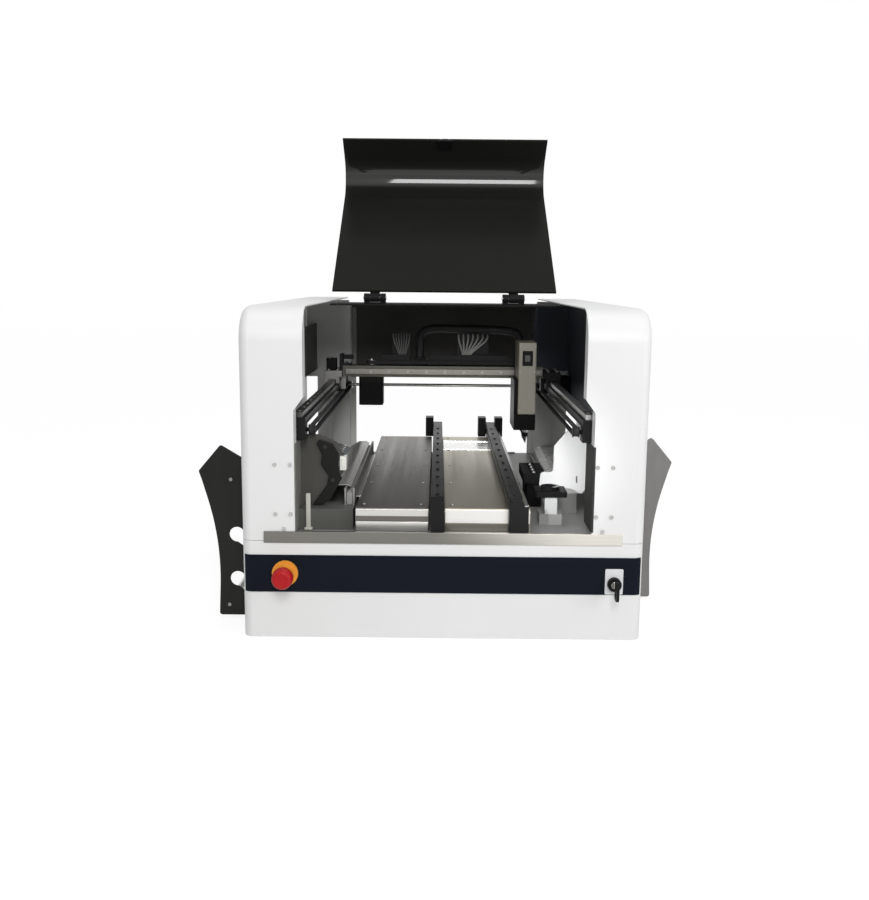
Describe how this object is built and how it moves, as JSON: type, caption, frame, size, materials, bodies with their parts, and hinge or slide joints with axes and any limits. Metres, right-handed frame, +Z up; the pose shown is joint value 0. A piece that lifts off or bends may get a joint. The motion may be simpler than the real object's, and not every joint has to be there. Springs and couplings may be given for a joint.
{
  "type": "desktop pick-and-place machine",
  "caption": "Desktop surface-mount pick-and-place machine: gantry placement head over board rails, side tape feeders with reel plates, tinted hinged lid, emergency stop and key switch.",
  "frame": {"origin": "on the floor, under the middle of the machine's overall box", "axes": "+X to the right seen from the operator, +Y to the rear, +Z up"},
  "size_m": [0.6992, 0.78, 0.7464],
  "materials": {
    "white_paint": "satin white powder coat",
    "grey_paint": "satin grey paint",
    "bed_grey": "satin grey anodised",
    "black_paint": "satin black paint",
    "dark_plate": "fine dark grey powder coat",
    "band_black": "gloss navy-black strip",
    "brushed_metal": "brushed",
    "bare_aluminium": "satin anodised",
    "black_anodised": "black anodised",
    "steel": "ground steel",
    "head_beige": "satin grey-beige paint",
    "smoke_acrylic": "smoke-tinted gloss sheet",
    "black_plastic": "moulded black",
    "rubber_black": "matt",
    "white_panel": "satin white",
    "feeder_blue_grey": "moulded grey",
    "estop_red": "gloss red",
    "estop_yellow": "gloss yellow",
    "board_green": "solder mask",
    "zinc": "zinc plated"
  },
  "bodies": {
    "chassis": {"rubber_feet": "rubber_black", "base_frame": "zinc", "front_panel": "white_paint", "front_band": "band_black", "front_sill": "brushed_metal", "left_side_cover": "white_paint", "right_side_cover": "white_paint", "rear_panel": "grey_paint", "top_cover": "black_paint", "side_liners": "black_paint", "bed_plate": "bed_grey", "table_plates": "brushed_metal", "feeder_bases": "bed_grey", "tape_feeders": "feeder_blue_grey", "feeder_end_plates": "white_panel", "left_reel_rack": "dark_plate", "right_reel_rack": "dark_plate", "gantry_posts": "grey_paint", "y_beams": "black_anodised", "y_guide_rails": "steel", "y_belts": "rubber_black", "y_motor": "black_plastic", "fixed_board_rail": "black_anodised", "cross_guides": "steel", "up_camera": "black_plastic", "nozzle_rack": "black_anodised", "power_supply": "bare_aluminium", "controller_board": "board_green", "vacuum_pumps": "black_plastic", "mains_inlet": "black_plastic", "estop_collar": "estop_yellow", "key_switch_body": "white_panel", "lid_hinge_bases": "black_paint", "lid_hinge_pins": "steel", "cover_screws": "steel"},
    "lid": {"lid_panel": "smoke_acrylic", "lid_hinge_leaves": "black_paint"},
    "gantry": {"y_carriages": "black_anodised", "x_beam": "bare_aluminium", "x_guide_rail": "steel", "x_motor": "black_plastic", "x_belt": "rubber_black", "cable_sleeve": "black_plastic"},
    "x_drive": {"x_drive_pulley": "bare_aluminium"},
    "x_idler": {"x_idler_pulley": "bare_aluminium"},
    "head": {"head_block": "black_anodised", "head_housing": "head_beige"},
    "movable_rail": {"movable_board_rail": "black_anodised"},
    "y_shaft": {"y_sync_shaft": "steel"},
    "y_idlers": {"y_idler_pulleys": "bare_aluminium"},
    "estop": {"estop_button": "estop_red"},
    "lock_key": {"key": "steel"},
    "z_slider_1": {"spindle_1": "steel"},
    "nozzle_1": {"nozzle_1": "black_plastic"},
    "z_slider_2": {"spindle_2": "steel"},
    "nozzle_2": {"nozzle_2": "black_plastic"},
    "z_slider_3": {"spindle_3": "steel"},
    "nozzle_3": {"nozzle_3": "black_plastic"},
    "z_slider_4": {"spindle_4": "steel"},
    "nozzle_4": {"nozzle_4": "black_plastic"}
  },
  "joints": [
    {"name": "lid_hinge", "type": "hinge", "parent": "chassis", "child": "lid", "pos_m": [0, -0.02, 0.466], "axis": [1, 0, 0], "range_deg": [0, 145]},
    {"name": "gantry_y", "type": "slide", "parent": "chassis", "child": "gantry", "axis": [0, 1, 0], "range_m": [-0.318, 0.045]},
    {"name": "head_x", "type": "slide", "parent": "gantry", "child": "head", "axis": [1, 0, 0], "range_m": [-0.285, 0], "deforming": ["cable_sleeve"]},
    {"name": "rail_width", "type": "slide", "parent": "chassis", "child": "movable_rail", "axis": [1, 0, 0], "range_m": [-0.07, 0.006]},
    {"name": "estop_push", "type": "slide", "parent": "chassis", "child": "estop", "axis": [0, 1, 0], "range_m": [0, 0.005], "stiffness_N_per_m": 600},
    {"name": "key_turn", "type": "hinge", "parent": "chassis", "child": "lock_key", "pos_m": [0.2375, -0.36, 0.083], "axis": [0, 1, 0], "range_deg": [0, 90]},
    {"name": "y_shaft_spin", "type": "hinge", "parent": "chassis", "child": "y_shaft", "pos_m": [0, 0.308, 0.288], "axis": [1, 0, 0], "continuous": true},
    {"name": "y_idler_spin", "type": "hinge", "parent": "chassis", "child": "y_idlers", "pos_m": [0, -0.304, 0.288], "axis": [1, 0, 0], "continuous": true},
    {"name": "x_drive_spin", "type": "hinge", "parent": "gantry", "child": "x_drive", "pos_m": [-0.132, 0.167, 0.345], "axis": [0, 0, 1], "continuous": true},
    {"name": "x_idler_spin", "type": "hinge", "parent": "gantry", "child": "x_idler", "pos_m": [0.158, 0.167, 0.345], "axis": [0, 0, 1], "continuous": true},
    {"name": "z_1", "type": "slide", "parent": "head", "child": "z_slider_1", "axis": [0, 0, 1], "range_m": [-0.01, 0.01]},
    {"name": "turn_1", "type": "hinge", "parent": "z_slider_1", "child": "nozzle_1", "pos_m": [0.146, 0.06, 0.25], "axis": [0, 0, 1], "continuous": true},
    {"name": "z_2", "type": "slide", "parent": "head", "child": "z_slider_2", "axis": [0, 0, 1], "range_m": [-0.01, 0.01]},
    {"name": "turn_2", "type": "hinge", "parent": "z_slider_2", "child": "nozzle_2", "pos_m": [0.146, 0.08, 0.25], "axis": [0, 0, 1], "continuous": true},
    {"name": "z_3", "type": "slide", "parent": "head", "child": "z_slider_3", "axis": [0, 0, 1], "range_m": [-0.01, 0.01]},
    {"name": "turn_3", "type": "hinge", "parent": "z_slider_3", "child": "nozzle_3", "pos_m": [0.146, 0.1, 0.25], "axis": [0, 0, 1], "continuous": true},
    {"name": "z_4", "type": "slide", "parent": "head", "child": "z_slider_4", "axis": [0, 0, 1], "range_m": [-0.01, 0.01]},
    {"name": "turn_4", "type": "hinge", "parent": "z_slider_4", "child": "nozzle_4", "pos_m": [0.146, 0.12, 0.25], "axis": [0, 0, 1], "continuous": true}
  ],
  "couplings": [
    {"joint": "y_shaft_spin", "follows": "gantry_y", "rad_per_m": -172.41},
    {"joint": "y_idler_spin", "follows": "gantry_y", "rad_per_m": -172.41},
    {"joint": "x_drive_spin", "follows": "head_x", "rad_per_m": 113.64},
    {"joint": "x_idler_spin", "follows": "head_x", "rad_per_m": 113.64},
    {"joint": "z_2", "follows": "z_1", "ratio": -1},
    {"joint": "z_4", "follows": "z_3", "ratio": -1}
  ]
}
